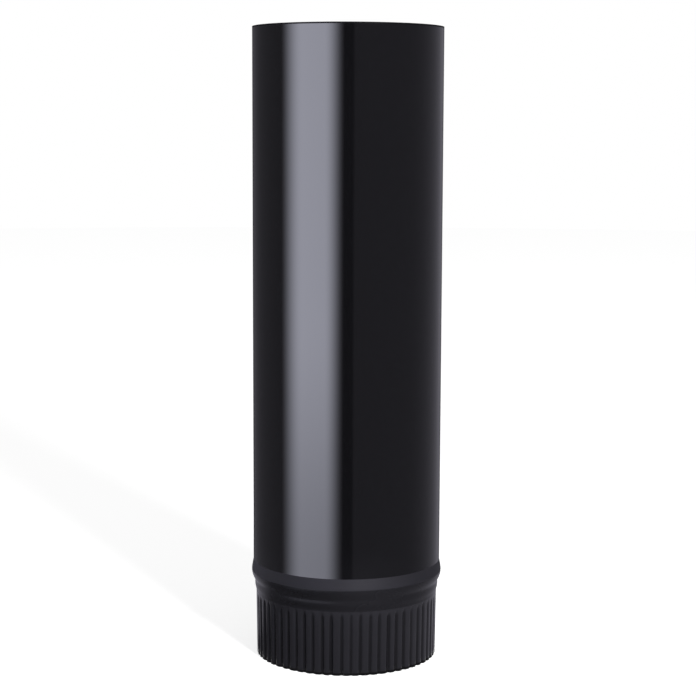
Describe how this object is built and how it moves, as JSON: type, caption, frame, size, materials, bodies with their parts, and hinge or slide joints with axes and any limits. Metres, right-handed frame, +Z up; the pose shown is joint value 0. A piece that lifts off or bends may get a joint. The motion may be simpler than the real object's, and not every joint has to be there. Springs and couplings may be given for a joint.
{
  "type": "stove pipe",
  "caption": "Straight single-wall black stove pipe with a plain upper end, a rolled stop bead and a crimped lower end that pushes into the next length.",
  "frame": {"origin": "on the pipe's axis, level with the rim of the crimped lower end that it stands on", "axes": "+Z up along the pipe's axis, from the crimped end to the plain end; the lock seam faces +Y"},
  "size_m": [0.1528, 0.1538, 0.5],
  "materials": {
    "black_finish": "semi-gloss black stove finish on sheet steel"
  },
  "bodies": {
    "root": {"stove_pipe": "black_finish"}
  },
  "joints": []
}
